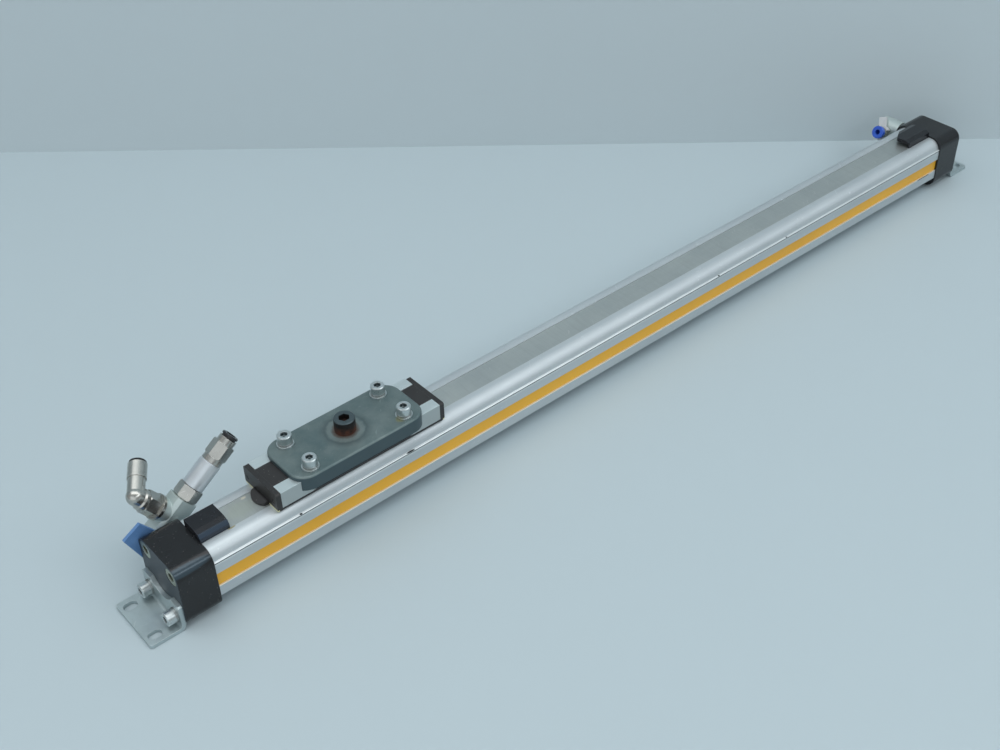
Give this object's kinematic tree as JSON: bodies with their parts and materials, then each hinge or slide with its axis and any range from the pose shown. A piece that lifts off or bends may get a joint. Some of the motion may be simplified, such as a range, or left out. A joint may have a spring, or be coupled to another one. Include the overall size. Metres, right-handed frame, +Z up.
{
  "type": "rodless pneumatic cylinder",
  "caption": "Band-sealed rodless pneumatic cylinder on angle feet: slotted aluminium tube, travelling carriage with saddle plate, black end caps and push-in air fittings.",
  "frame": {"origin": "on the plane that the feet stand on, at the centre of the four foot slots", "axes": "+X along the stroke from the near cap to the far cap, +Z up, Y across the tube"},
  "size_m": [0.744, 0.0749, 0.0695],
  "materials": {
    "profile": "clear anodised extruded aluminium",
    "rail": "clear anodised aluminium",
    "band": "rolled stainless band",
    "strip": "yellow plastic cover strip",
    "cap": "black anodised cap, slightly glossy",
    "clamp": "blue black anodised clamp",
    "sleeve_screw": "yellow zinc plated steel",
    "seal": "black nitrile",
    "bush": "turned brass",
    "foot": "zinc plated folded steel sheet",
    "zinc": "bright zinc plated steel",
    "spring_steel": "grey zinc plated spring steel",
    "black_plastic": "black glass filled plastic",
    "felt": "oiled felt",
    "yoke": "machined aluminium",
    "piston": "light grey acetal",
    "guide": "natural bearing plastic",
    "magnet": "magnetic ring",
    "lip_seal": "dark blue polyurethane",
    "saddle": "grey phosphated steel",
    "black_oxide": "black oxide steel",
    "rust": "rusted spring steel",
    "nickel": "nickel plated brass",
    "frosted": "bead blasted aluminium",
    "plain_sleeve": "bright sleeve left bare",
    "blue": "blue plastic",
    "ring_black": "black release ring",
    "blue_ring": "blue release ring",
    "white": "white plastic clip"
  },
  "bodies": {
    "cylinder": {"barrel": "profile", "side_strip": "strip", "outer_band": "band", "inner_band": "band", "near_cap": "cap", "far_cap": "cap", "near_sleeve_screws": "sleeve_screw", "far_sleeve_screws": "sleeve_screw", "near_cap_ring": "seal", "far_cap_ring": "seal", "near_cushion_bush": "bush", "far_cushion_bush": "bush", "near_clamp": "clamp", "far_clamp": "clamp", "near_foot": "foot", "far_foot": "foot", "foot_screws": "zinc", "foot_spring_washers": "spring_steel", "port_spacer": "nickel", "port_bolt": "nickel", "valve_block": "frosted", "valve_hex": "nickel", "valve_sleeve": "plain_sleeve", "valve_head": "nickel", "elbow_stem": "nickel", "far_port_bolt": "nickel", "far_block": "frosted", "far_arm": "nickel", "far_tag": "white"},
    "carriage": {"carriage_body": "rail", "carriage_cover": "black_plastic", "near_end_plate": "black_plastic", "far_end_plate": "black_plastic", "felt_scrapers": "felt", "wiper_tongues": "black_plastic", "side_glides": "black_plastic", "yoke": "yoke", "near_piston": "piston", "far_piston": "piston", "piston_seals": "lip_seal", "guide_rings": "guide", "piston_magnets": "magnet", "saddle_plate": "saddle", "plate_screws": "zinc", "plate_spring_washers": "spring_steel", "plate_flat_washers": "zinc", "driver_screw": "black_oxide", "driver_washer": "rust"},
    "lever": {"shutoff_lever": "blue"},
    "elbow": {"elbow_body": "nickel"},
    "elbow_release": {"elbow_collet": "ring_black"},
    "valve_release": {"valve_collet": "ring_black"},
    "far_release": {"far_collet": "blue_ring"},
    "near_needle": {"near_cushion_screw": "bush"},
    "far_needle": {"far_cushion_screw": "bush"}
  },
  "joints": [
    {"name": "carriage_slide", "type": "slide", "parent": "cylinder", "child": "carriage", "axis": [1, 0, 0], "range_m": [-0.0245, 0.4639], "deforming": ["outer_band", "inner_band"]},
    {"name": "lever_turn", "type": "hinge", "parent": "cylinder", "child": "lever", "pos_m": [-0.3395, 0.0218, 0.022], "axis": [0, 1, 0], "range_deg": [0, 90]},
    {"name": "elbow_swivel", "type": "hinge", "parent": "cylinder", "child": "elbow", "pos_m": [-0.32479, 0.0305, 0.03289], "axis": [-0.5893, 0.1357, 0.7964], "range_deg": [-145, 125]},
    {"name": "elbow_ring_push", "type": "slide", "parent": "elbow", "child": "elbow_release", "axis": [0.5524, 0.7871, 0.2746], "range_m": [-0.0009, 0], "stiffness_N_per_m": 400, "springref_m": 0.0004},
    {"name": "valve_ring_push", "type": "slide", "parent": "cylinder", "child": "valve_release", "axis": [0.8039, 0, 0.5948], "range_m": [-0.0009, 0], "stiffness_N_per_m": 400, "springref_m": 0.0004},
    {"name": "far_ring_push", "type": "slide", "parent": "cylinder", "child": "far_release", "axis": [-0.8988, 0, 0.4384], "range_m": [-0.0009, 0], "stiffness_N_per_m": 400, "springref_m": 0.0004},
    {"name": "near_needle_turn", "type": "hinge", "parent": "cylinder", "child": "near_needle", "pos_m": [-0.3319, 0.0185, 0.0286], "axis": [0, 1, 0], "range_deg": [0, 720]},
    {"name": "far_needle_turn", "type": "hinge", "parent": "cylinder", "child": "far_needle", "pos_m": [0.3294, 0.0185, 0.0286], "axis": [0, 1, 0], "range_deg": [0, 720]}
  ]
}
